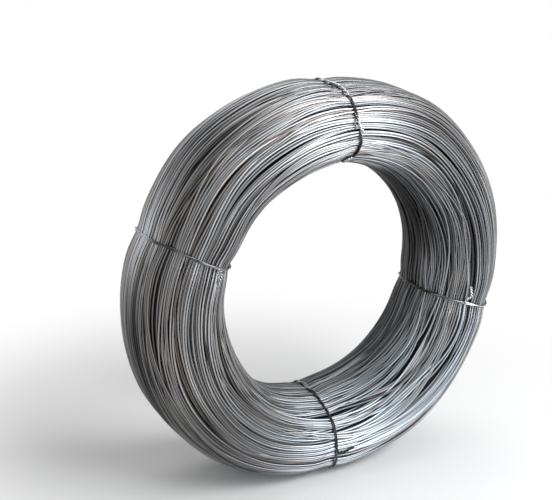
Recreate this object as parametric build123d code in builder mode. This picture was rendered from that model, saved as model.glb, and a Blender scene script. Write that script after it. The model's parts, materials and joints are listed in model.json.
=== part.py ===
from build123d import *
from math import atan2, asin, cos, degrees, hypot, pi, sin
import os

# Coil of steel wire rod, standing on its rim, held by four binding wires.
# The origin is on the floor under the middle of the coil: Y runs along the eye, Z is up.

# The wound bundle, in millimetres.
bore_radius = 312
bundle_depth = 218  # from the eye to the rim
coil_width = 290
rest_width = 116  # width of the straight stretch on the rim
eye_width = 68  # width of the straight stretch in the eye
wire_diameter = 5.5  # also the depth of the gap between two bands of turns
bands = 10  # bands of turns that show on each face

# The binding wires, each doubled, with its ends wound round each other.
tie_wire = 4
seat_gap = 0.3  # between a binding wire and what it lies on
strand_gap = 0.4  # between the two strands
sunk = 0.4  # how far a strand stays below the rim, where the turns give way to it
bite = 0.2  # how far each wound end presses into the other
tail_length = 42
tail_turns = 1.5
tail_steps = 7
wire_sides = 8

# Where each binding wire crosses the bundle, as a share of a full turn from +X, and where its
# wound ends start, as a share of the way over the front face from the rim to the eye.
tie_shares = {"tie_top": 1 / 4, "tie_left": 4 / 9, "tie_right": -1 / 30, "tie_bottom": -1 / 4}
tail_shares = {"tie_top": 0.2, "tie_left": 0.8, "tie_right": 0.3, "tie_bottom": 0.3}

os.makedirs("parts", exist_ok=True)

# The section across the bundle is an oval, cut straight at the rim and in the eye.
outer_radius = bore_radius + bundle_depth
half_depth = bundle_depth / 2
middle_radius = bore_radius + half_depth
half_width = coil_width / 2
rim_cut = asin(rest_width / coil_width)
eye_cut = asin(eye_width / coil_width)


def face_point(steps, height=0):
    """The point on a face that is so many bands from the rim, and so high above the crests."""
    share = 2 * steps / bands - 1
    cut = rim_cut if share < 0 else eye_cut
    depth = half_depth / cos(cut)
    angle = pi / 2 + share * (pi / 2 - cut)
    radial, axial = cos(angle), sin(angle)
    slope = hypot(radial / depth, axial / half_width)
    return (
        middle_radius + depth * radial + height * radial / depth / slope,
        half_width * axial + height * axial / half_width / slope,
    )


def both_faces(points):
    """A run of points over one face, and then its mirror image over the other."""
    return points + [(radius, -axial) for radius, axial in reversed(points)]


def section_plane(angle, offset=0):
    """The plane across the bundle at an angle: its x points outwards and its y along the eye."""
    middle = Plane(origin=(0, 0, outer_radius), x_dir=(1, 0, 0), z_dir=(0, 0, 1))
    return middle.rotated((0, -angle, 0)).offset(offset)


# Each band of turns has a crest, with a groove between it and the next.
face_line = []
for band in range(bands):
    face_line += [face_point(band), face_point(band + 0.5, -wire_diameter)]
face_line.append(face_point(bands))

# A binding wire's two strands lie side by side, in a notch across the rim and across the eye.
strand_pitch = tie_wire + strand_gap
notch_depth = tie_wire + seat_gap + sunk
notch_width = strand_pitch + tie_wire + 2 * seat_gap
rim_notch_reach = face_line[1][1]
eye_notch_reach = face_line[-2][1]

with BuildPart() as wire_coil:
    with BuildSketch(section_plane(0)):
        with BuildLine():
            Polyline(*both_faces(face_line), close=True)
        make_face()
    revolve(axis=Axis((0, 0, outer_radius), (0, 1, 0)))
    for share in tie_shares.values():
        with BuildSketch(section_plane(360 * share)):
            with Locations((outer_radius, 0)):
                Rectangle(2 * notch_depth, 2 * rim_notch_reach)
            with Locations((bore_radius, 0)):
                Rectangle(2 * notch_depth, 2 * eye_notch_reach)
        extrude(amount=notch_width / 2, both=True, mode=Mode.SUBTRACT)

wire_coil.part.label = "wire_coil"
export_step(wire_coil.part, "parts/wire_coil.step")

# One turn of a strand: sunk across the rim, over every crest, sunk across the eye, and back.
strand_radius = tie_wire / 2
rim_level = outer_radius - sunk - strand_radius
eye_level = bore_radius + sunk + strand_radius
strand_line = [(rim_level, (rest_width / 2 + rim_notch_reach) / 2)]
strand_line += [face_point(band, strand_radius + seat_gap) for band in range(1, bands)]
strand_line.append((eye_level, (eye_width / 2 + eye_notch_reach) / 2))


def wire_along(plane, points, closed=False):
    """A stretch of binding wire that runs straight from point to point."""
    with BuildPart() as wire:
        with BuildLine(plane) as path:
            Polyline(*points, close=closed)
        with BuildSketch(Plane(origin=path.line @ 0, z_dir=path.line % 0)):
            RegularPolygon(strand_radius, wire_sides)
        sweep(path=path.wire(), transition=Transition.RIGHT)
    return wire.part


def tail_points(angle, band, started):
    """The run of one wound end: round the other one, and along the turns over a band's crest."""
    winding_radius = strand_radius - bite
    radius, axial = face_point(band, strand_radius + winding_radius + seat_gap)
    crest_radius, crest_axial = face_point(band)
    lean = atan2(axial - crest_axial, radius - crest_radius)
    points = []
    for step in range(tail_steps + 1):
        share = step / tail_steps
        run = share * tail_length - (1 - share) * strand_pitch
        turned = lean + 2 * pi * (started + share * tail_turns)
        local = (radius + winding_radius * cos(turned), -axial - winding_radius * sin(turned))
        points.append(section_plane(angle + degrees(run / radius)).from_local_coords(local))
    return points


for name, share in tie_shares.items():
    angle = 360 * share
    band = round(tail_shares[name] * bands)
    turn = [(rim_level, 0), *both_faces(strand_line)]
    wires = [
        wire_along(section_plane(angle, side * strand_pitch / 2), turn, closed=True)
        for side in (-1, 1)
    ]
    wires += [wire_along(Plane.XY, tail_points(angle, band, started)) for started in (0, 0.5)]
    with BuildPart() as tie:
        add(wires)
    tie.part.label = name
    export_step(tie.part, f"parts/{name}.step")
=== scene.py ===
# %% [markdown]
# A coil of wire rod is one long steel wire, wound turn on turn into a thick ring and held by four
# binding wires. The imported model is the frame: it says how large the coil is, and the looks are
# built round it, in the same place. All lengths are in metres, Y runs along the eye, and Z is up.

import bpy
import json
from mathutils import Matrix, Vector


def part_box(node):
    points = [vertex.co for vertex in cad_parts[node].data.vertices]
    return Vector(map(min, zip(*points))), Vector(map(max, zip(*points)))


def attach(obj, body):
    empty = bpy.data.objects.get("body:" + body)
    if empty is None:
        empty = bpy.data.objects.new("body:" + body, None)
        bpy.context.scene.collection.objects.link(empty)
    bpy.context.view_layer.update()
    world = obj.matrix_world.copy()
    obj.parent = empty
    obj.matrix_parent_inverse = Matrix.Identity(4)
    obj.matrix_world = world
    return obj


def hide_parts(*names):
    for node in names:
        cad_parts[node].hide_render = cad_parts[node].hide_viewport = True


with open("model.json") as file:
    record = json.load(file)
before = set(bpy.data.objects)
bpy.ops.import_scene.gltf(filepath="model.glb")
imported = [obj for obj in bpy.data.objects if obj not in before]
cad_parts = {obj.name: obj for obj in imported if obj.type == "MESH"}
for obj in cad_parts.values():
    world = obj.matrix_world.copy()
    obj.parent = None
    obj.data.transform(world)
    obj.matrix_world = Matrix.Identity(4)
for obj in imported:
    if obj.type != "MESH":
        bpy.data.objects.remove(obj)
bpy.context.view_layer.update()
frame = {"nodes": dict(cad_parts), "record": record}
print(f"the frame has {len(frame['nodes'])} nodes")

# %% [markdown]
# Everything is sized from the frame: the rim and the width from the coil's box, the eye from the
# mount that a hook or a mandrel uses. A few sizes of the real thing are added, such as the wire's,
# so that a change to the model carries through to every wire.

# %% Read the coil's sizes
import json
import math

import bpy
import numpy as np
from mathutils import Matrix, Vector

mm = 0.001
coil_low, coil_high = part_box("wire_coil")
rim_radius = (coil_high[0] - coil_low[0]) / 2
coil_width = coil_high[1] - coil_low[1]
centre_height = (coil_low[2] + coil_high[2]) / 2
eye_size = frame["record"]["mounts"][0]["dims"]
eye_radius = eye_size["r_mm"] * mm
eye_width = eye_size["length_mm"] * mm
rest_width = 116 * mm  # width of the flat stretch that the coil rests on
wire_radius = 2.75 * mm
tie_angles = {"tie_top": 90, "tie_left": 160, "tie_right": -12, "tie_bottom": -90}  # degrees
print(f"coil {2 * rim_radius:.3f} m across, {coil_width:.3f} m wide, eye {2 * eye_radius:.3f} m")

# %% [markdown]
# The camera comes first, because every later choice is judged through it. A camera can be aimed at a
# target, but here its three directions are worked out from three angles, because the photograph is
# also a little tilted. A long lens from four metres keeps the near and the far side alike in size.

# %% Set the camera
photo_width, photo_height = 552, 500  # pixels
optical_centre = (317.6, 278.7)  # pixels from the top left corner
focal_length = 1535.7  # pixels
camera_azimuth, camera_elevation, camera_roll = 34.03, 20.89, 3.86  # degrees
camera_distance = 3.965
sensor_width = 36  # millimetres, as the camera counts them


def camera_axes(azimuth, elevation, roll):
    """The camera's right, up and backward directions."""
    azimuth, elevation, roll = (math.radians(angle) for angle in (azimuth, elevation, roll))
    back = Vector((
        -math.sin(azimuth) * math.cos(elevation),
        -math.cos(azimuth) * math.cos(elevation),
        math.sin(elevation),
    ))
    level = Vector((math.cos(azimuth), -math.sin(azimuth), 0))
    upright = back.cross(level)
    right = math.cos(roll) * level + math.sin(roll) * upright
    return right, back.cross(right), back


camera_data = bpy.data.cameras.new("camera")
camera_data.sensor_width = sensor_width
camera_data.lens = focal_length * sensor_width / photo_width
camera_data.shift_x = 0.5 - optical_centre[0] / photo_width
camera_data.shift_y = (optical_centre[1] - photo_height / 2) / photo_width
camera = bpy.data.objects.new("camera", camera_data)
right, up, back = camera_axes(camera_azimuth, camera_elevation, camera_roll)
camera_place = Vector((0, 0, centre_height)) + camera_distance * back
camera_turn = Matrix((right, up, back)).transposed().to_4x4()
camera.matrix_world = Matrix.Translation(camera_place) @ camera_turn
bpy.context.collection.objects.link(camera)
bpy.context.scene.camera = camera
bpy.context.scene.view_settings.view_transform = "Standard"
print(f"lens {camera_data.lens:.1f} mm, shift {camera_data.shift_x:.4f}, {camera_data.shift_y:.4f}")

# %% [markdown]
# Cut across, the bundle is a rounded oval that is flatter where it rests and in the eye. The line
# round it is sampled finely and smoothed, so that a wire can be placed by two plain numbers: how far
# along this line it lies, and how deep under it. That is easier than thinking in X, Y and Z.

# %% Smooth and divide closed lines
line_step = 1 * mm


def smoothed(values, spread, axis=0):
    """A closed run of values, averaged over its neighbours with a bell-shaped weight."""
    count = values.shape[axis]
    waves = np.fft.rfftfreq(count)
    shape = [1] * values.ndim
    shape[axis] = len(waves)
    weight = np.exp(-2 * (math.pi * waves * spread) ** 2).reshape(shape)
    return np.fft.irfft(np.fft.rfft(values, axis=axis) * weight, count, axis=axis)


def evenly_along(loop, count=None):
    """Points at even steps along a closed flat line, and its length."""
    run = np.concatenate([[0], np.cumsum(np.hypot(*np.diff(loop, axis=0).T))])
    count = count or round(run[-1] / line_step)
    even = np.arange(count) * run[-1] / count
    return np.stack([np.interp(even, run, side) for side in loop.T], 1), run[-1]


def direction(vectors):
    """Vectors made one long."""
    return vectors / np.linalg.norm(vectors, axis=-1, keepdims=True)


# %% Draw the section across the bundle
face_points = 400
corner_smoothing = 9  # steps of the line over which its corners are rounded


def oval_face():
    """One face of the bundle, from the rim to the eye, as radius and distance from the middle."""
    share = np.linspace(-1, 1, face_points)
    rim_cut, eye_cut = math.asin(rest_width / coil_width), math.asin(eye_width / coil_width)
    cut = np.where(share < 0, rim_cut, eye_cut)
    depth = (rim_radius - eye_radius) / 2 / np.cos(cut)
    angle = math.pi / 2 + share * (math.pi / 2 - cut)
    return (rim_radius + eye_radius) / 2 + depth * np.cos(angle), coil_width / 2 * np.sin(angle)


def section_line():
    """The closed line round the bundle: over the front face, through the eye and back over the rim."""
    radius, axial = oval_face()
    radius = np.concatenate([radius, radius[::-1], radius[:1]])
    axial = np.concatenate([-axial, axial[::-1], -axial[:1]])
    line, length = evenly_along(np.stack([radius, axial], 1))
    return smoothed(line, corner_smoothing), length


line, perimeter = section_line()
slope = np.roll(line, -1, 0) - np.roll(line, 1, 0)
line_normal = direction(np.stack([-slope[:, 1], slope[:, 0]], 1))
line_run = np.arange(len(line)) * perimeter / len(line)
print(f"the section is {perimeter:.3f} m round")

# %% [markdown]
# The ring is not quite round: each tie pinches it, and between two ties the loose turns swell out.
# How far they do was judged from the photograph for each stretch. A lattice or a sculpted mesh could
# bend the ring too, but a short table can be read, and changed at one angle at a time.

# %% Swell the ring between its ties
stations = 150  # places round the ring at which the wires are worked out
angles = np.arange(stations) * 2 * math.pi / stations
swells = (  # at which angle in degrees, and how many millimetres outwards at the rim and in the eye
    (-163, 5, -16), (-145, 5, -15), (-118, 4, 0), (-98, -5, -4), (-86, 3, -9),
    (-76, 5, -9), (-55, 25, -5), (-28, 4, 5), (-12, -1, -4), (5, 0, -2),
    (20, 10, -2), (42, 3, -3), (60, 8, 2), (84, -14, 11), (92, -9, 8),
    (105, 2, 3), (120, 7, 0), (135, 18, 6), (153, -2, -6), (168, 5, 0),
)
swell_angles, rim_swell, eye_swell = zip(*swells)
swell_smoothing = 2.7  # stations
tie_pinch = 7 * mm
pinch_spread = math.radians(4.5)


def round_the_ring(values):
    """A smooth run of lengths round the ring, from one value for each of the swell angles."""
    run = np.interp(np.degrees(angles), swell_angles, values, period=360)
    return smoothed(run * mm, swell_smoothing)


def away_from(degrees):
    """How far every station is from an angle, in radians."""
    return (angles - math.radians(degrees) + math.pi) % (2 * math.pi) - math.pi


def near_ties():
    """One at each tie, falling to nothing on both sides of it."""
    return sum(np.exp(-((away_from(degrees) / pinch_spread) ** 2)) for degrees in tie_angles.values())


rim_shift, eye_shift = round_the_ring(rim_swell), round_the_ring(eye_swell)
pinch = tie_pinch * near_ties()
print(f"the rim swells from {rim_shift.min() / mm:.1f} to {rim_shift.max() / mm:.1f} mm")


# %% Turn the two numbers into a place in the room
def ring_point(across, depth, station):
    """A point so far along the section's line, so deep under it, at a station round the ring."""
    along = across % perimeter
    radius = np.interp(along, line_run, line[:, 0], period=perimeter)
    axial = np.interp(along, line_run, line[:, 1], period=perimeter)
    out_radius = np.interp(along, line_run, line_normal[:, 0], period=perimeter)
    out_axial = np.interp(along, line_run, line_normal[:, 1], period=perimeter)
    turn = np.asarray(station) * 2 * math.pi / stations
    shift_rim, shift_eye, pinched = (
        np.interp(turn, angles, run, period=2 * math.pi) for run in (rim_shift, eye_shift, pinch)
    )
    deep = depth + pinched
    rim_share = (radius - eye_radius) / (rim_radius - eye_radius)
    radius = radius - deep * out_radius + shift_rim * rim_share + shift_eye * (1 - rim_share)
    return ring_to_room(radius, axial - deep * out_axial, turn)


def ring_to_room(radius, axial, turn):
    """Radius, distance from the middle and angle as a place in the room."""
    return np.stack([radius * np.cos(turn), axial, centre_height + radius * np.sin(turn)], axis=-1)


rim_top = ring_point(np.array(perimeter - rest_width / 2), 0, stations / 4)
print(f"the rim's top lies {rim_top[2]:.4f} m over the floor")

# %% [markdown]
# The turns lie in flat hanks of a few wires each. A hank wanders slowly across the bundle on its way
# round, so that its wires cross their neighbours at a shallow angle and long dark gaps open and
# close. Plain random steps would not meet again after one round, so wander is a sum of slow waves.

# %% Make slow closed waves
rng = np.random.default_rng(17)


def wander(count, waves, size):
    """For each of so many things, a slow closed wander of about that size, station by station."""
    total = np.zeros((count, stations))
    for wave in waves:
        height = rng.normal(0, size / math.sqrt(len(waves)), (count, 1))
        total += height * np.cos(wave * angles + rng.uniform(0, 2 * math.pi, (count, 1)))
    return total


def between(first, last, edge):
    """One between two angles in degrees, falling to nothing over an edge on both sides."""
    middle, half = (first + last) / 2, (last - first) / 2
    away = abs((np.degrees(angles) - middle + 180) % 360 - 180)
    return 1 / (1 + np.exp((away - half) / edge))


# %% Share the section out among the hanks
hanks = 60
narrowest, widest = 0.35, 1.65  # of the mean width
drift_regions = 8  # places on the section that each drift in their own way
region_drift, common_drift = 11 * mm, 7 * mm
hank_width = rng.uniform(narrowest, widest, hanks)
hank_width *= perimeter / hank_width.sum()
hank_middle = np.cumsum(hank_width) - hank_width / 2
drift_middle = np.arange(drift_regions) / drift_regions * perimeter
drift = wander(drift_regions, (1, 2, 3), region_drift) + wander(1, (1, 2), common_drift)
shared_drift = [np.interp(hank_middle, drift_middle, row, period=perimeter) for row in drift.T]
print(f"{hanks} hanks, {hank_width.min() / mm:.0f} to {hank_width.max() / mm:.0f} mm wide")

# %% [markdown]
# At three of the ties the turns near the rim are drawn aside, over the rim and backwards. On one
# side of a tie they fan out again at once, and on the other slowly. A pull that fades round the ring,
# with a steep side and a gentle one, does this without any wire being moved by hand.

# %% Gather the turns at the ties
gathered = {"tie_top": 33 * mm, "tie_right": 26 * mm, "tie_left": 8 * mm}
gather_reach = 105 * mm  # how far over the section turns are still drawn
steep_side, gentle_side = math.radians(16), math.radians(38)
from_rim = (hank_middle + perimeter / 2) % perimeter - perimeter / 2
near_rim = np.exp(-((from_rim / gather_reach) ** 2))


def gathering(degrees):
    """One at a tie, falling fast on its one side, where the turns fan out, and slowly on the other."""
    away = away_from(degrees)
    return np.exp(-((away / np.where(away > 0, steep_side, gentle_side)) ** 2))


hank_pull = sum(
    pull * near_rim[:, None] * gathering(tie_angles[name]) for name, pull in gathered.items()
)
print(f"turns are drawn aside by up to {hank_pull.max() / mm:.0f} mm")

# %% Let the hanks wander
loose = between(-80, -22, 5)  # the turns hang loose between the bottom and the right tie
hank_waves = range(1, 7)
sideways, rise, even_sideways = 6.0 * mm, 1.3 * mm, 3 * mm
loose_rise = 2.4  # how much more the hanks rise and fall where they are loose
hanks_sunk = 1.5 * mm  # how deep they lie when they neither rise nor fall
hank_wander = wander(hanks, hank_waves, sideways) * (1 + loose)
hank_across = hank_middle[:, None] + np.stack(shared_drift, 1) + hank_wander - hank_pull
hank_lift = wander(hanks, hank_waves, rise) * (1 + loose_rise * loose) - hanks_sunk
even_wander = wander(hanks, hank_waves, even_sideways)  # for the lowest layer, seen in the gaps
print(f"hanks rise and fall by {hank_lift.std() / mm:.1f} mm")

# %% [markdown]
# Every wire first gets a wished-for place: side by side in its hank, in three layers. The upper two
# follow the hank, and the lowest stays near the hank's own place, so that it closes the gaps.

# %% Wish a place for every wire
wire_pitch = 2 * wire_radius + 0.1 * mm
layer_step = 4.7 * mm
layer_fill = (0.82, 0.95, 0.8)  # share of the width that each layer's wires take up, from the top
hank_crown = 2.5 * mm  # how much lower a hank's edge lies than its middle
place_spread = 0.3  # of the room that a wire has in its hank
wish_across, wish_depth, wire_hank = [], [], []
for hank, width in enumerate(hank_width):
    for layer, fill in enumerate(layer_fill):
        count = max(1, round(width * fill / wire_pitch))
        place = (np.arange(count) + 0.5) / count * 2 - 1 + rng.normal(0, place_spread / count, count)
        middle, lift = hank_across[hank], hank_lift[hank]
        if layer == len(layer_fill) - 1:
            middle = hank_middle[hank] + even_wander[hank] - hank_pull[hank]
        for share in place:
            wish_across.append(middle + share * width / 2)
            wish_depth.append(wire_radius + layer * layer_step + hank_crown * share ** 2 - lift)
            wire_hank.append(hank)
print(f"{len(wish_across)} wires in {hanks} hanks")

# %% Fill the gap where two hanks part
parted = 7  # near the top tie this hank and the next lie apart
filling = (-1.1, 0, 1.1)  # pitches from the middle of the gap
filling_crown = 1.5 * mm
for side in filling:
    wish_across.append((hank_across[parted] + hank_across[parted + 1]) / 2 + side * wire_pitch)
    wish_depth.append(wire_radius + abs(side) * filling_crown - hank_lift[parted])
    wire_hank.append(parted)
print(f"{len(filling)} wires lie between hanks {parted} and {parted + 1}")

# %% Let each wire wander a little by itself
wires = len(wish_across)
wire_sideways, wire_rise = 1.3 * mm, 1.6 * mm
wire_depth_spread = 1.2 * mm
wish_across = np.array(wish_across) + wander(wires, range(2, 9), wire_sideways)
depth_spread = rng.normal(0, wire_depth_spread, (wires, 1))
wish_depth = np.array(wish_depth) + depth_spread + wander(wires, range(1, 8), wire_rise)
print(f"wishes lie {wish_depth.min() / mm:.0f} to {wish_depth.max() / mm:.0f} mm deep")

# %% [markdown]
# On top lie stray turns, three by three, which cross the hanks in long slants. They are the ones
# that were wound last, and they make the coil look wound and not combed.

# %% Add stray wires
strays = 42
stray_company = 3  # so many run near each other
stray_band = np.arange(strays) // stray_company
slant, stray_gap, stray_sideways = 18 * mm, 6 * mm, 3 * mm  # together, apart, and each by itself
stray_rise, highest_rise = 2.5 * mm, 2 * mm
stray_across = rng.uniform(0, perimeter, (strays, 1)) + wander(strays, (1, 2, 3, 4), slant)
stray_across = stray_across[stray_band] + rng.normal(0, stray_gap, (strays, 1))
stray_across = stray_across + wander(strays, (1, 2, 3, 4, 5), stray_sideways)
stray_depth = wire_radius + np.clip(wander(strays, (1, 2, 3), stray_rise), -highest_rise, None)
wish_across = np.concatenate([wish_across, stray_across])
wish_depth = np.concatenate([wish_depth, stray_depth])
wire_hank = np.concatenate([wire_hank, hanks + np.arange(strays)])
print(f"{strays} stray wires, {len(wish_across)} wires in all")

# %% [markdown]
# Two wires can't be in one place. At every station the wires are discs, and wherever two overlap
# both are moved apart by half of it, again and again, while each is drawn back to its wished-for
# place and kept smooth along its run. Two wires that swap places on the way to the next station are
# parted in depth as well, so that one goes over the other. Loose grains or a heap of pipes can be
# settled like this too, and it takes seconds, where a rigid body simulation would take minutes.

# %% Find the wires that swap places
passing_neighbours = 3  # so near in the row are two wires that swap places


def gap_between(rows, order, other):
    """How much further each wire of the second order lies than its partner in the first."""
    return np.take_along_axis(rows, other, 0) - np.take_along_axis(rows, order, 0)


def passing(across, depth, order, other, side):
    """Which pairs swap places on the way to the next station on a side, and which of the two is deeper."""
    gap_across = gap_between(np.roll(across, side, 1), order, other)
    gap_depth = gap_between(np.roll(depth, side, 1), order, other) + gap_between(depth, order, other)
    swaps = (gap_across + perimeter / 2) % perimeter < perimeter / 2
    return swaps, np.where(gap_depth < 0, -1, 1)


# %% Push the wires apart
neighbours = 9  # so many on each side of a wire are looked at
rounds = 160
firmness, drawn_back = 0.8, 0.02
run_smoothing = 0.18
deepest = 17 * mm
final_smoothing = 1.5  # stations
no_gap = 1e-9  # added to every gap, so that none is divided by nothing


def settled(across, depth):
    """The wires' places once no two overlap by much."""
    wish_a, wish_d = across.copy(), depth.copy()
    for _ in range(rounds):
        order = np.argsort(across % perimeter, axis=0)
        a, d = np.take_along_axis(across, order, 0), np.take_along_axis(depth, order, 0)
        move_a, move_d = np.zeros_like(a), np.zeros_like(d)
        for step in range(1, neighbours + 1):
            gap_a = (np.roll(a, -step, 0) - a + perimeter / 2) % perimeter - perimeter / 2
            gap_d = np.roll(d, -step, 0) - d
            apart = np.hypot(gap_a, gap_d) + no_gap
            push = np.clip(wire_pitch - apart, 0, None) / apart / 2 * firmness
            move_a += np.roll(push * gap_a, step, 0) - push * gap_a
            move_d += np.roll(push * gap_d, step, 0) - push * gap_d
            if step > passing_neighbours:
                continue
            for side in (-1, 1):
                swaps, deeper = passing(across, depth, order, np.roll(order, -step, 0), side)
                lift = swaps * np.clip(wire_pitch - deeper * gap_d, 0, wire_pitch) * deeper / 2 * firmness
                move_d += np.roll(lift, step, 0) - lift
        shift_a, shift_d = np.empty_like(a), np.empty_like(d)
        np.put_along_axis(shift_a, order, move_a, 0)
        np.put_along_axis(shift_d, order, move_d, 0)
        across = across + shift_a + drawn_back * (wish_a - across)
        depth = depth + shift_d + drawn_back * (wish_d - depth)
        across += run_smoothing * (np.roll(across, 1, 1) + np.roll(across, -1, 1) - 2 * across)
        depth += run_smoothing * (np.roll(depth, 1, 1) + np.roll(depth, -1, 1) - 2 * depth)
        depth = np.clip(depth, wire_radius, deepest)
    return smoothed(across, final_smoothing, axis=1), smoothed(depth, final_smoothing, axis=1)


across, depth = settled(wish_across, wish_depth)
print(f"wires lie {depth.min() / mm:.1f} to {depth.max() / mm:.1f} mm deep")

# %% [markdown]
# A wire is a tube: a ring of points at every station, joined to the next. A curve with a bevel would
# be round too, but in a mesh each wire can carry marks of its own for the finish. The ring needs two
# directions across the run, taken from the tangent and the way out of the bundle.

# %% Make rings of points round a path
wire_sides = 6


def tube_rings(path, outwards, radius, sides, closed):
    """Rings of points round paths: arrays of shape (tubes, points, 3) in, (tubes, points, sides, 3) out."""
    if closed:
        tangent = direction(np.roll(path, -1, 1) - np.roll(path, 1, 1))
    else:
        tangent = direction(np.gradient(path, axis=1))
    side = direction(np.cross(tangent, outwards))
    outwards = np.cross(side, tangent)
    turn = np.arange(sides) * 2 * math.pi / sides
    ring = np.cos(turn)[:, None] * outwards[..., None, :] + np.sin(turn)[:, None] * side[..., None, :]
    return path[..., None, :] + radius * ring


def outwards_at(across, depth, station):
    """The way out of the bundle at points in it."""
    way = ring_point(across, depth - wire_radius, station) - ring_point(across, depth, station)
    return direction(way)


station_row = np.broadcast_to(np.arange(stations), across.shape)
wire_path = ring_point(across, depth, station_row)
wire_out = outwards_at(across, depth, station_row)
wire_rings = tube_rings(wire_path, wire_out, wire_radius, wire_sides, True)
print(f"{len(wire_rings)} tubes, {wire_rings.shape[1]} rings each")

# %% [markdown]
# Each tube gets its own straight strip in the texture map, so that nothing overlaps when the finish
# is baked. Marks go with it for the finish: tone, tint, a place in the noise called grain, how deep
# it lies in shade, and crest, which says how far each side of the wire looks outwards.

# %% Join the rings into faces
face_corners = ((0, 0), (1, 0), (1, 1), (0, 1))  # steps along the tube and round it
strip_margin = 0.04  # of a strip's width
cap_size = 0.2  # of the room that a cap has in the map


def tube_faces(tubes, points, sides, spans):
    """The faces along tubes, and each corner's place in a map with a strip for every tube."""
    tube, span, side = np.meshgrid(np.arange(tubes), np.arange(spans), np.arange(sides), indexing="ij")
    quads = [(tube * points + (span + i) % points) * sides + (side + j) % sides for i, j in face_corners]
    strip = []
    for i, j in face_corners:
        up_strip = strip_margin + (1 - 2 * strip_margin) * (side + j) / sides
        strip.append(np.stack([(span + i) / spans, (tube + up_strip) / (tubes + 1)], -1))
    return np.stack(quads, -1).reshape(-1, 4).tolist(), np.stack(strip, -2).reshape(-1, 2)


def cap_ends(faces, chart, tubes, points, sides):
    """Closes both ends of open tubes, with a small place for each cap in the map's last row."""
    around = np.arange(sides)
    turn = around * 2 * math.pi / sides
    cell = np.stack([np.cos(turn), np.sin(turn)], 1) * cap_size / (2 * tubes + 2)
    for cap in range(2 * tubes):
        tube, at_end = divmod(cap, 2)
        first = (tube * points + at_end * (points - 1)) * sides
        faces.append((first + (around if at_end else around[::-1])).tolist())
        middle = ((cap + 0.5) / (2 * tubes), (tubes + 0.5) / (tubes + 1))
        chart = np.concatenate([chart, cell + middle])
    return chart


# %% Make an object of tubes
def crest_round(sides):
    """How far each side of a tube looks outwards, from nothing to one."""
    return (1 + np.cos(np.arange(sides) * 2 * math.pi / sides)) / 2


def add_mark(mesh, mark, values):
    """Writes one number for every point of a mesh, for its finish to read."""
    mesh.attributes.new(mark, "FLOAT", "POINT").data.foreach_set("value", values)


def tube_mesh(name, rings, closed, marks, crest=None):
    """One object of tubes from their rings. A mark is a number for each tube, or for each of its rings."""
    tubes, points, sides, _ = rings.shape
    faces, chart = tube_faces(tubes, points, sides, points if closed else points - 1)
    if not closed:
        chart = cap_ends(faces, chart, tubes, points, sides)
    mesh = bpy.data.meshes.new(name)
    mesh.from_pydata(rings.reshape(-1, 3).tolist(), [], faces)
    mesh.uv_layers.new(name="OFBake").data.foreach_set("uv", chart.ravel())
    for mark, values in marks.items():
        values = np.asarray(values, dtype=float)
        values = values if values.ndim == 2 else np.repeat(values[:, None], points, axis=1)
        add_mark(mesh, mark, np.repeat(values.reshape(-1), sides))
    crest = crest_round(sides) if crest is None else crest
    add_mark(mesh, "crest", np.tile(crest, tubes * points))
    mesh.shade_smooth()
    piece = bpy.data.objects.new(name, mesh)
    bpy.context.collection.objects.link(piece)
    print(f"{name}: {tubes} tubes, {len(faces)} faces")
    return piece


# %% [markdown]
# No two turns are alike. Some came dull from the die, and most are rubbed bright. A hank shares part
# of its tone, because its wires ran side by side. Tint tells a warm grey from a cool one.

# %% Give each wire a tone and a tint
dark_share = 0.22  # so many wires are dark
dark_to, light_from = 0.2, 0.42  # no tone lies between these two
hank_in_tone, wire_in_tone = 0.3, 0.7
hank_in_tint, wire_in_tint, least_tint = 0.4, 0.5, 0.08
painted_cool_light, painted_warm_light = 0.3, 0.2  # how much painted cool light on the lower right, and painted warm light on the left
painted_cool_stretch, painted_warm_stretch = (-110, -18, 12), (150, 235, 15)  # from and to which angle, and the edge
grain_range = 100


def parted_tone(value):
    """Tone from an even value: a share of the wires is dark, and the others are clearly lighter."""
    light = light_from + (value - dark_share) / (1 - dark_share) * (1 - light_from)
    return np.where(value < dark_share, value / dark_share * dark_to, light)


wire_tone = parted_tone(rng.uniform(0, 1, len(across)))
hank_tone = rng.uniform(0, 1, hanks + strays)
tone = hank_tone[wire_hank] * hank_in_tone + wire_tone * wire_in_tone
hank_tint = rng.uniform(0, 1, hanks + strays)
tint = hank_tint[wire_hank] * hank_in_tint + rng.uniform(0, 1, len(across)) * wire_in_tint
tint = tint[:, None] + least_tint
# Painted light: the tint is made cooler on the lower right and warmer on the left, where the light is
# cooler or warmer.
tint = tint + painted_cool_light * between(*painted_cool_stretch) - painted_warm_light * between(*painted_warm_stretch)
grain = rng.uniform(0, grain_range, len(across))
print(f"{(wire_tone < dark_to).sum()} dark wires, {(wire_tone > light_from).sum()} light ones")

# %% [markdown]
# Whole stretches are painted brighter or darker too: painted highlights where the light falls on them, and
# painted shade where it does not. They could be painted by hand, but a short table says where they are in
# numbers that can be changed. Painted shade lies on the rim at the lower left and beside the eye at the
# upper right, and it is added to the deep mark.

# %% Brighten and darken whole stretches
painted_light_stretches = (  # from and to which angle, how far round the section, over what reach, how much brighter
    (-180, 180, 409 * mm, 80 * mm, -0.5),  # painted shade in the eye
    (4, 62, 190 * mm, 90 * mm, -0.22),
    (38, 78, 60 * mm, 70 * mm, -0.45),
    (114, 152, -15 * mm, 60 * mm, -0.35),
    (149, 166, -65 * mm, 45 * mm, 0.7),
    (70, 108, 130 * mm, 110 * mm, 0.36),
    (-104, -68, 150 * mm, 100 * mm, 0.48),
    (-84, -48, 285 * mm, 60 * mm, -0.35),
    (-60, -26, 130 * mm, 120 * mm, 0.3),
    (-150, -112, 120 * mm, 130 * mm, -0.34),
)
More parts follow.
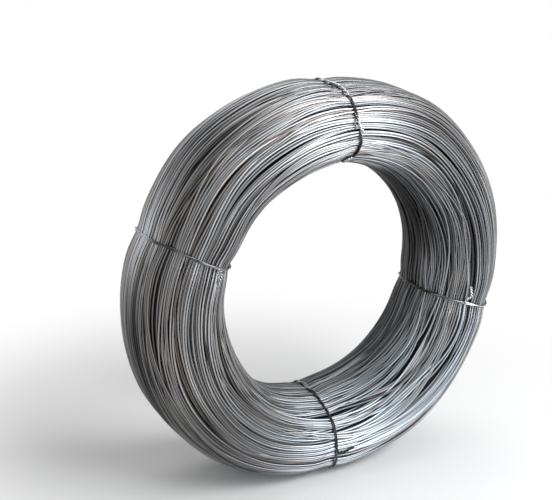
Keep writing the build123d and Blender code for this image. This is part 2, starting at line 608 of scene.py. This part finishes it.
# Painted shade: patches on the rim at the lower left and beside the eye at the upper right, added to the
# deep mark.
painted_shade_patches = (  # from and to which angle, how far round the section, over what reach
    (-190, -133, -45 * mm, 80 * mm),
    (6, 74, 315 * mm, 85 * mm),
)
painted_light_edge, painted_shade_edge = 5, 6  # degrees
painted_shade_level = 0.4
least_gap_shade = 0.65  # the turns lie closer where the ties hold them, with less shade between


def near_on_section(middle, reach):
    """One at a place on the section's line, for every wire and station, falling to nothing beside it."""
    away = (across - middle + perimeter / 2) % perimeter - perimeter / 2
    return np.exp(-((away / reach) ** 2))


# Painted highlights and painted shade: whole stretches get a higher tone where light falls on them and a
# lower one where it does not.
tone = tone[:, None] + sum(
    brighter * between(first, last, painted_light_edge) * near_on_section(middle, reach)
    for first, last, middle, reach, brighter in painted_light_stretches
)
shaded_depth = depth / deepest * (least_gap_shade + (1 - least_gap_shade) * loose)
# Painted shade: the deep mark is raised in each patch, so the finish is darker there.
for first, last, middle, reach in painted_shade_patches:
    painted_shade_here = painted_shade_level * between(first, last, painted_shade_edge)
    shaded_depth = shaded_depth + painted_shade_here * near_on_section(middle, reach)
print(f"tones run from {tone.min():.2f} to {tone.max():.2f}")

# %% Make the wires, in seven pieces
regions = ("front_outer", "front_middle", "front_inner", "eye", "back_inner", "back_middle", "back_outer")
mean_across = across.mean(axis=1) % perimeter
region_of_wire = (mean_across / perimeter * len(regions)).astype(int) % len(regions)
turn_pieces = []
for index, region in enumerate(regions):
    mine = region_of_wire == index
    marks = {"tone": tone[mine], "tint": tint[mine], "grain": grain[mine], "deep": shaded_depth[mine]}
    turn_pieces.append(tube_mesh(f"turns_{region}", wire_rings[mine], True, marks))

# %% [markdown]
# Under the loose outer layers the bundle is packed solid, and only shadow is seen of it. Hundreds of hidden
# wires would be wasted, so one ring with a hundred ridges closes the view between the wires.

# %% Make the packed turns underneath
packed_depth = 17.5 * mm
ridge_height = 1.5 * mm
packed_points = 200
packed_along = np.arange(packed_points) / packed_points * perimeter
packed_across = np.broadcast_to(packed_along, (stations, packed_points))
packed_station = np.broadcast_to(np.arange(stations)[:, None], packed_across.shape)
packed_ridge = ridge_height * np.where(np.arange(packed_points) % 2, 1, -1)
packed_ring = ring_point(packed_across, packed_depth + packed_ridge / 2, packed_station)
# Painted shade: the packed turns are marked as deep as can be, so their finish is painted in shade.
packed_marks = {"tone": [0.3], "tint": [0.5], "grain": [0], "deep": [1]}
packed_turns = tube_mesh("packed_turns", packed_ring[None], True, packed_marks, np.ones(packed_points))

# %% [markdown]
# A binding wire is pulled tight round the bundle, so its line is the shortest loop that goes round
# all wires at its place: their convex hull. It could be drawn by hand, but then it would float over
# some wires and cut into others. The hull touches just the wires that a real tie would touch.

# %% Find the tight loop round the bundle
strand_radius = 2.0 * mm
tie_sink = 1.5 * mm  # the turns give way by so much
tie_points = 400
loop_smoothing = 3  # points
wire_outline = 12  # points round each wire that the loop may touch


def hull(points):
    """The convex hull of flat points, counter-clockwise."""
    ordered = sorted(map(tuple, points))
    sides = []
    for run in (ordered, ordered[::-1]):
        chain = []
        for point in run:
            while len(chain) > 1:
                (ax, ay), (bx, by) = chain[-2:]
                if (bx - ax) * (point[1] - ay) - (by - ay) * (point[0] - ax) > 0:
                    break
                chain.pop()
            chain.append(point)
        sides += chain[:-1]
    return np.array(sides)


def at_station(rows, station):
    """The value of each closed row at a place between two stations."""
    return np.array([np.interp(station, np.arange(stations + 1), [*row, row[0]]) for row in rows])


def tight_loop(turn, clearance):
    """The loop round all wires at an angle: radius and distance from the middle, from the rim forwards."""
    station = turn / (2 * math.pi) * stations
    places = ring_point(at_station(across, station), at_station(depth, station), station)
    flat = np.stack([np.hypot(places[:, 0], places[:, 2] - centre_height), places[:, 1]], 1)
    circle = np.arange(wire_outline) * 2 * math.pi / wire_outline
    grown = flat[:, None] + clearance * np.stack([np.cos(circle), np.sin(circle)], 1)
    loop = hull(grown.reshape(-1, 2))[::-1]
    start = np.argmax(loop[:, 0] - abs(loop[:, 1]))
    loop = np.roll(loop, -start, axis=0)
    loop, length = evenly_along(np.concatenate([loop, loop[:1]]), tie_points)
    return smoothed(loop, loop_smoothing), length


for name, degrees in tie_angles.items():
    loop, length = tight_loop(math.radians(degrees) % (2 * math.pi), wire_radius)
    print(f"{name}: {length:.3f} m round, rim at {loop[:, 0].max():.4f} m")

# %% [markdown]
# Two strands run along each loop. In some stretches they lie side by side, in others they are wound round
# each other, as the pliers left them, and a tie leans a little along the turns. Lean, twist and tone are
# short lists: so much at such a share of the way round, from the rim over the front. A tie's tone is
# painted light: painted highlights and painted shade along it.

# %% Say how each tie leans, twists and shines
tie_leans = {  # millimetres along the turns
    "tie_top": ((0, 0), (0.2, 0), (0.25, -8), (0.33, -8), (0.37, 0), (1, 0)),
    "tie_left": ((0, 0), (0.03, 0), (0.12, -7), (0.23, 0), (0.3, 5), (1, 0)),
    "tie_right": ((0, -6), (0.2, -6), (0.25, 0), (0.32, 3), (0.5, 2), (0.7, 0), (1, -6)),
    "tie_bottom": (
        (0, 30), (0.12, 31), (0.17, 22), (0.21, 15), (0.25, 7), (0.3, 0), (0.36, -1),
        (0.45, -10), (0.52, -7), (0.6, 0), (1, 30),
    ),
}
tie_twists = {  # turns of one strand round the other
    "tie_top": (
        (0, 0), (0.06, 2.5), (0.12, 4), (0.19, 4.1), (0.24, 6.25), (0.34, 6.25), (0.4, 8),
        (0.6, 9), (1, 13),
    ),
    "tie_left": ((0, 0), (0.05, 1), (0.2, 2), (0.38, 3), (0.46, 5), (0.6, 6), (1, 10)),
    "tie_right": ((0, 0), (0.1, 1), (0.2, 3), (0.45, 4.5), (0.6, 6), (1, 9)),
    "tie_bottom": (
        (0, 0), (0.08, 0), (0.16, 1.25), (0.25, 1.25), (0.28, 2), (0.36, 2.05), (0.4, 2.5),
        (0.48, 4), (0.6, 5), (0.9, 8), (1, 8),
    ),
}
tie_painted_light = {  # painted highlights and painted shade along each tie, on the scale of the wires' tones, but a tie's finish is darker
    "tie_top": (
        (0, 2.2), (0.1, 1.8), (0.13, 0.0), (0.2, 0.0), (0.21, 0.7), (0.25, 0.6), (0.27, 0.1),
        (0.36, 0.1), (0.4, 0.6), (0.6, 0.3), (0.85, 0.5), (0.9, 2.0), (1, 2.2),
    ),
    "tie_left": (
        (0, 1.3), (0.03, 0.7), (0.06, 0.2), (0.12, 0.2), (0.15, 0.6), (0.21, 0.3), (0.26, 1.0),
        (0.32, 1.0), (0.35, 0.6), (0.5, 0.4), (0.9, 0.9), (1, 1.3),
    ),
    "tie_right": (
        (0, 0.8), (0.2, 0.9), (0.225, 1.0), (0.235, 1.6), (0.265, 1.6), (0.28, 1.0), (0.31, 0.8),
        (0.34, 0.6), (0.39, 0.7), (0.42, 0.1), (0.52, 0.1), (0.6, 0.5), (1, 0.8),
    ),
    "tie_bottom": (
        (0, 0.0), (0.19, 0.0), (0.21, 0.5), (0.26, 0.5), (0.28, -0.1), (0.5, 0.0), (0.53, 0.9),
        (0.6, 0.9), (0.65, 0.3), (1, 0.0),
    ),
}
for name, twists in tie_twists.items():
    print(f"{name}: {twists[-1][1]} turns of its strands")

# %% Wind two strands round each other
twist_smoothing, lean_smoothing = 4, 8  # points
strand_crest = 0.45  # how little the sides of a strand are shaded
strand_sides = 8
strand_crests = strand_crest + (1 - strand_crest) * crest_round(strand_sides)


def strand_twist(name, shares):
    """The angle by which the strands are wound round each other, at each share of the way round."""
    wound = np.interp(shares, *zip(*tie_twists[name]))
    slack = wound - wound[-1] * shares
    return (smoothed(slack, twist_smoothing) + wound[-1] * shares) * 2 * math.pi


def two_strands(middle, wound, aside, out, radius, closed):
    """Rings of two strands on both sides of a line, at an angle that winds them round it."""
    strands = []
    for start in (0, math.pi):
        around = np.cos(wound + start)[:, None] * aside + np.sin(wound + start)[:, None] * out
        strands.append(middle + radius * around)
    strands = np.array(strands)
    return tube_rings(strands, np.broadcast_to(out, strands.shape), radius, strand_sides, closed)


# %% Make the binding wires
def binding_wire(name, degrees):
    """The two strands of one tie, and the line that they are wound round."""
    turn = math.radians(degrees)
    loop, _ = tight_loop(turn % (2 * math.pi), wire_radius + strand_radius - tie_sink)
    shares = np.arange(tie_points) / tie_points
    wound = strand_twist(name, shares)
    lean = smoothed(np.interp(shares, *zip(*tie_leans[name])), lean_smoothing) * mm
    path = ring_to_room(loop[:, 0], loop[:, 1], turn + lean / loop[:, 0])
    tangent = direction(np.roll(path, -1, 0) - np.roll(path, 1, 0))
    along_ring = np.array([-math.sin(turn), 0, math.cos(turn)])
    out = direction(np.cross(along_ring, tangent))
    if out[0] @ (math.cos(turn), 0, math.sin(turn)) < 0:
        out = -out
    path = path + out * (strand_radius * abs(np.sin(wound)))[:, None]
    rings = two_strands(path, wound, along_ring, out, strand_radius, True)
    # Painted light: the tone along the tie carries its painted highlights and painted shade.
    tones = np.interp(shares, *zip(*tie_painted_light[name]))
    marks = {
        "tone": [tones] * 2,
        "tint": rng.uniform(0, 1, 2),
        "grain": rng.uniform(0, grain_range, 2),
        "deep": [0, 0],
    }
    piece = tube_mesh(name.replace("tie", "binding_wire"), rings, True, marks, strand_crests)
    return piece, path, tangent, out, along_ring


tie_pieces, tie_lines = {}, {}
for name, degrees in tie_angles.items():
    piece, *tie_lines[name] = binding_wire(name, degrees)
    tie_pieces[name] = [piece]

# %% [markdown]
# At a knot both ends come out and are wound round each other. They were bent away by hand, each its
# own way, so their line is drawn by a few points: so far on along the tie towards the eye, so far
# along the turns, and so far off the bundle. They are pieces of their own.

# %% Say where the wound ends go
wound_ends_places = {  # for each knot its share of the way round, and the line's points in millimetres
    "tie_top": (
        (0.0, ((-2, 0, 1), (6, 8, 5), (18, 14, 8), (32, 12, 8), (46, 4, 5))),
        (0.19, ((-3, 0, 2), (4, 4, 5), (14, 7, 6), (26, 6, 6), (38, 1, 4))),
        (0.35, ((-3, 0, 1), (2, 4, 4), (9, 8, 5), (16, 9, 4))),
    ),
    "tie_left": ((0.28, ((-3, 0, 2), (7, 4, 6), (14, 12, 9), (16, 25, 9), (15, 37, 8))),),
    "tie_right": ((0.285, ((-2, 0, 2), (-2, 12, 7), (-14, 23, 10), (-6, 40, 11), (-3, 49, 10))),),
    "tie_bottom": ((0.26, ((-2, 0, 2), (-2, 14, 6), (4, 27, 9), (12, 36, 11), (13, 46, 10))),),
}
# Painted light: each knot's ends are lighter or darker as the light falls on that tie, from painted
# highlights to painted shade.
wound_ends_painted_light = {"tie_top": 1.6, "tie_left": 1.1, "tie_right": 1.3, "tie_bottom": 0.1}
print(f"{sum(map(len, wound_ends_places.values()))} knots with wound ends")

# %% Make the wound ends
end_points = 60
end_pitch = 17 * mm  # length of one turn of the ends round each other
end_radius = 2.0 * mm
bend_rounds, bend_softness = 40, 0.25  # how often and how much the corners of their line are eased


def eased_line(corners):
    """A fine line through a few points, with its corners rounded."""
    stretch = np.linspace(0, 1, len(corners))
    fine = np.linspace(0, 1, end_points)
    bend = np.stack([np.interp(fine, stretch, corners[:, axis]) for axis in range(3)], 1)
    for _ in range(bend_rounds):
        bend[1:-1] += bend_softness * (bend[:-2] + bend[2:] - 2 * bend[1:-1])
    return bend


def wound_ends(name, number, share, places):
    """Two wire ends wound round each other along a bent line."""
    path, tangent, out, along_ring = tie_lines[name]
    index = round(share * tie_points)
    axes = np.stack([tangent[index], along_ring, out[index]])
    bend = eased_line(path[index] + np.array(places) * mm @ axes)
    run = np.concatenate([[0], np.cumsum(np.linalg.norm(np.diff(bend, axis=0), axis=1))])
    way = direction(np.gradient(bend, axis=0))
    side = direction(np.cross(way, out[index]))
    wound = 2 * math.pi * run / end_pitch
    rings = two_strands(bend, wound, side, np.cross(side, way), end_radius, False)
    marks = {
        "tone": [wound_ends_painted_light[name]] * 2,
        "tint": [0.5, 0.4],
        "grain": rng.uniform(0, grain_range, 2),
        "deep": [0, 0],
    }
    return tube_mesh(name.replace("tie", "wound_ends") + f"_{number}", rings, False, marks, strand_crests)


for name, knots in wound_ends_places.items():
    for number, (share, places) in enumerate(knots, 1):
        tie_pieces[name].append(wound_ends(name, number, share, places))

# %% [markdown]
# Finishes are built from nodes. Written as plain sums, a mask is easier to read than as a web of
# links, so one small class wraps a node's output and turns each operator into a Math node.

# %% Write shader maths as expressions
class Shade:
    """A value in a material's node tree, with the operators of plain arithmetic."""

    def __init__(self, tree, socket):
        self.tree, self.socket = tree, socket

    def node(self, kind, settings=None, output=0, **inputs):
        """Adds a node: its settings first, then values or links for its sockets, by name or number."""
        made = self.tree.nodes.new(kind)
        for key, value in (settings or {}).items():
            if key == "stops":
                self.set_stops(made.color_ramp, value)
            else:
                setattr(made, key, value)
        for key, value in inputs.items():
            socket = made.inputs[int(key[1:]) if key[1:].isdigit() else key.replace("_", " ")]
            if isinstance(value, Shade):
                self.tree.links.new(value.socket, socket)
            else:
                socket.default_value = value
        return Shade(self.tree, made.outputs[output])

    @staticmethod
    def set_stops(ramp, stops):
        """Puts a ramp's stops at their places, in order."""
        while len(ramp.elements) < len(stops):
            ramp.elements.new(1)
        for element, (place, colour) in zip(ramp.elements, stops):
            element.position = place
            element.color = (*colour, 1)

    def maths(self, operation, *values):
        """Adds a Math node."""
        inputs = {f"i{index}": value for index, value in enumerate(values)}
        return self.node("ShaderNodeMath", {"operation": operation}, **inputs)

    def __add__(self, other):
        return self.maths("ADD", self, other)

    def __sub__(self, other):
        return self.maths("SUBTRACT", self, other)

    def __rsub__(self, other):
        return self.maths("SUBTRACT", other, self)

    def __mul__(self, other):
        return self.maths("MULTIPLY", self, other)

    __radd__, __rmul__ = __add__, __mul__


# %% Start a finish
def new_finish(name):
    """A material, its shader and a first value to build on."""
    finish = bpy.data.materials.new(name)
    finish.use_nodes = True
    shader = finish.node_tree.nodes["Principled BSDF"]
    return finish, shader, Shade(finish.node_tree, None)


def feed(shade, shader, socket):
    """Links a value to a socket of the shader."""
    shade.tree.links.new(shade.socket, shader.inputs[socket])


# %% [markdown]
# Drawn steel is bare metal. Each turn left the die a little brighter or duller and carries long
# streaks of lubricant and scale, so the tone changes from wire to wire and slowly along each wire.
# One noise for all wires would run across them, so each wire's grain moves it to a place of its own.
# It is read at places in the room, because these meet again after a round, as a strip's ends don't.

# %% Name the greys of steel
dark_steel, plain_steel, bright_steel = (0.06, 0.058, 0.058), (0.27, 0.267, 0.27), (0.66, 0.665, 0.69)
warm_cast, no_cast, cool_cast = (1.0, 0.93, 0.85), (1, 1, 1), (0.83, 0.93, 1.0)
steel_stops = [(0.0, dark_steel), (0.5, plain_steel), (1.0, bright_steel)]
cast_stops = [(0.0, warm_cast), (0.5, no_cast), (1.0, cool_cast)]
streak_scale, streak_detail = 5.0, 3.0
tone_in_level, streaks_in_level, level_of_black = 0.7, 0.6, 0.25
grain_aside = 0.37  # of each wire's grain, for the noise's second direction
smoothest, streaks_in_roughness = 0.22, 0.3
shade_starts, shade_ends, deep_shade = 0.2, 0.6, 0.1  # along the deep mark, and what light is left
crevice_ends, crevice_starts, crevice_shade = 0.4, 0.9, 0.33  # along the crest mark
# The packed turns are painted darker still, as shade; the annealed binding wire is darker in itself.
packed_painted_shade, tie_darkness = 0.2, 0.16
print(f"steel greys from {dark_steel[0]} to {bright_steel[0]}")


# %% Finish the steel wire
def steel_colour(base, attribute, streaks, darkness):
    """The grey of each wire: from its tone and streaks, cast warm or cool by its tint."""
    level = attribute["tone"] * tone_in_level + streaks * streaks_in_level - (level_of_black + darkness)
    grey = base.node("ShaderNodeValToRGB", {"stops": steel_stops}, Fac=level)
    cast = base.node("ShaderNodeValToRGB", {"stops": cast_stops}, Fac=attribute["tint"])
    multiply = {"data_type": "RGBA", "blend_type": "MULTIPLY"}
    return base.node("ShaderNodeMix", multiply, output=2, i0=1.0, i6=grey, i7=cast)


def steel_shade(base, attribute):
    """The shade of deep places and of the crevice between two wires, where little light comes."""
    smooth = {"interpolation_type": "SMOOTHSTEP"}
    depth_shade = base.node(
        "ShaderNodeMapRange", smooth, Value=attribute["deep"],
        From_Min=shade_starts, From_Max=shade_ends, To_Min=1.0, To_Max=deep_shade,
    )
    crevice = base.node(
        "ShaderNodeMapRange", smooth, Value=attribute["crest"],
        From_Min=crevice_ends, From_Max=crevice_starts, To_Min=crevice_shade, To_Max=1.0,
    )
    return depth_shade * crevice


def steel_finish(name, darkness=0.0):
    """Bare steel whose tone follows each wire."""
    finish, shader, base = new_finish(name)
    attribute = {
        mark: base.node("ShaderNodeAttribute", {"attribute_name": mark}, output=2)
        for mark in ("tone", "tint", "grain", "deep", "crest")
    }
    spot = base.node("ShaderNodeTexCoord", output=3)
    aside = base.node("ShaderNodeCombineXYZ", X=attribute["grain"], Y=attribute["grain"] * grain_aside)
    place = base.node("ShaderNodeVectorMath", {"operation": "ADD"}, i0=spot, i1=aside)
    streaks = base.node(
        "ShaderNodeTexNoise", {"noise_dimensions": "3D"},
        Vector=place, Scale=streak_scale, Detail=streak_detail,
    )
    colour = steel_colour(base, attribute, streaks, darkness)
    shade = steel_shade(base, attribute)
    shaded = base.node("ShaderNodeVectorMath", {"operation": "SCALE"}, Vector=colour, Scale=shade)
    feed(shaded, shader, "Base Color")
    feed(streaks * streaks_in_roughness + smoothest, shader, "Roughness")
    shader.inputs["Metallic"].default_value = 1.0
    print(f"{name}: {len(base.tree.nodes)} nodes")
    return finish


wire_finish = steel_finish("drawn_steel_wire")
packed_finish = steel_finish("shaded_steel_wire", packed_painted_shade)
tie_finish = steel_finish("annealed_binding_wire", tie_darkness)

# %% [markdown]
# Every piece gets its finish and rides on the one body, and the CAD node that it stands in for is hidden.

# %% Dress the pieces
for piece in (*turn_pieces, packed_turns):
    piece.data.materials.append(packed_finish if piece is packed_turns else wire_finish)
    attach(piece, "root")
    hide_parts("wire_coil")
for name, pieces in tie_pieces.items():
    for piece in pieces:
        piece.data.materials.append(tie_finish)
        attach(piece, "root")
        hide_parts(name)
print(f"{len(turn_pieces) + 1 + sum(map(len, tie_pieces.values()))} pieces dressed")

# %% [markdown]
# The photograph has a white background. The floor is pale and keeps the coil's shadow near it. Seen
# by the camera and in reflections it turns to plain white further out, as the world behind it does,
# and neither lights the coil any more for that. Bare metal needs something white to reflect.

# %% Tell seen light from lighting
rays_that_see = ("Is Camera Ray", "Is Glossy Ray", "Is Transmission Ray")


def seen_directly(base):
    """One for rays from the camera, in a mirror or through glass, and nothing for diffuse light."""
    outputs = base.node("ShaderNodeLightPath").socket.node.outputs
    camera_ray, glossy_ray, glass_ray = (Shade(base.tree, outputs[ray]) for ray in rays_that_see)
    return base.maths("MINIMUM", camera_ray + glossy_ray + glass_ray, 1)


# %% Lay the floor
floor_size = 60
floor_colour = (0.93, 0.93, 0.93)
floor_roughness, floor_gloss = 0.9, 0.1
shadow_reach, white_from = 0.6, 1.3  # from the coil's foot, where the floor begins and ends to whiten


def lay_floor():
    """A large plane under the coil."""
    half = floor_size / 2
    corners = [(-half, -half, 0), (half, -half, 0), (half, half, 0), (-half, half, 0)]
    mesh = bpy.data.meshes.new("floor")
    mesh.from_pydata(corners, [], [(0, 1, 2, 3)])
    floor = bpy.data.objects.new("floor", mesh)
    bpy.context.collection.objects.link(floor)
    finish, shader, base = new_finish("pale_floor")
    shader.inputs["Base Color"].default_value = (*floor_colour, 1)
    shader.inputs["Roughness"].default_value = floor_roughness
    shader.inputs["Specular IOR Level"].default_value = floor_gloss
    spot = base.node("ShaderNodeNewGeometry")
    distance = base.node("ShaderNodeVectorMath", {"operation": "LENGTH"}, output=1, i0=spot)
    far = base.node(
        "ShaderNodeMapRange", {"interpolation_type": "SMOOTHSTEP"}, Value=distance,
        From_Min=shadow_reach, From_Max=white_from,
    )
    white = base.node("ShaderNodeEmission", Color=(1, 1, 1, 1), Strength=1.0)
    surface = Shade(base.tree, shader.outputs[0])
    mixed = base.node("ShaderNodeMixShader", i0=seen_directly(base) * far, i1=surface, i2=white)
    output = next(node for node in base.tree.nodes if node.type == "OUTPUT_MATERIAL")
    base.tree.links.new(mixed.socket, output.inputs["Surface"])
    floor.data.materials.append(finish)
    return floor


floor = lay_floor()
print(f"the floor is {floor_size} m wide")

# %% [markdown]
# Light is plain and soft: a dim white world, a weak lamp overhead and two large ones in front. Their level
# was set with grey cards, so that a grey comes out about as grey as it is written.

# %% Light the scene
world_strength = 0.35
lamps = {  # place, target, width, depth, watts and colour
    "overhead_lamp": ((0.4, 0.4, 3.4), (0, 0, centre_height), 3.0, 1.6, 25, (1, 1, 1)),
    "front_lamp": ((1.4, -2.7, 3.0), (0, 0, centre_height), 3.2, 1.3, 115, (1, 1, 1)),
    "low_lamp": ((2.2, -3.4, 0.8), (0, 0, 0.2), 2.6, 1.1, 88, (0.93, 0.97, 1.0)),
}


def light_world(strength):
    """A white world that lights the coil at a lower level than it is seen at."""
    world = bpy.data.worlds.new("studio")
    bpy.context.scene.world = world
    world.use_nodes = True
    base = Shade(world.node_tree, None)
    background = world.node_tree.nodes["Background"]
    background.inputs["Color"].default_value = (1, 1, 1, 1)
    level = seen_directly(base) * (1 - strength) + strength
    base.tree.links.new(level.socket, background.inputs["Strength"])


def hang_lamp(name, place, target, width, depth, power, colour):
    """A large soft lamp that faces a point."""
    lamp_data = bpy.data.lights.new(name, "AREA")
    lamp_data.shape = "RECTANGLE"
    lamp_data.size, lamp_data.size_y = width, depth
    lamp_data.energy = power
    lamp_data.color = colour
    lamp = bpy.data.objects.new(name, lamp_data)
    lamp.location = place
    lamp.rotation_euler = (Vector(target) - Vector(place)).to_track_quat("-Z", "Y").to_euler()
    bpy.context.collection.objects.link(lamp)


light_world(world_strength)
for name, settings in lamps.items():
    hang_lamp(name, *settings)
print(f"world and {len(lamps)} lamps are in place")
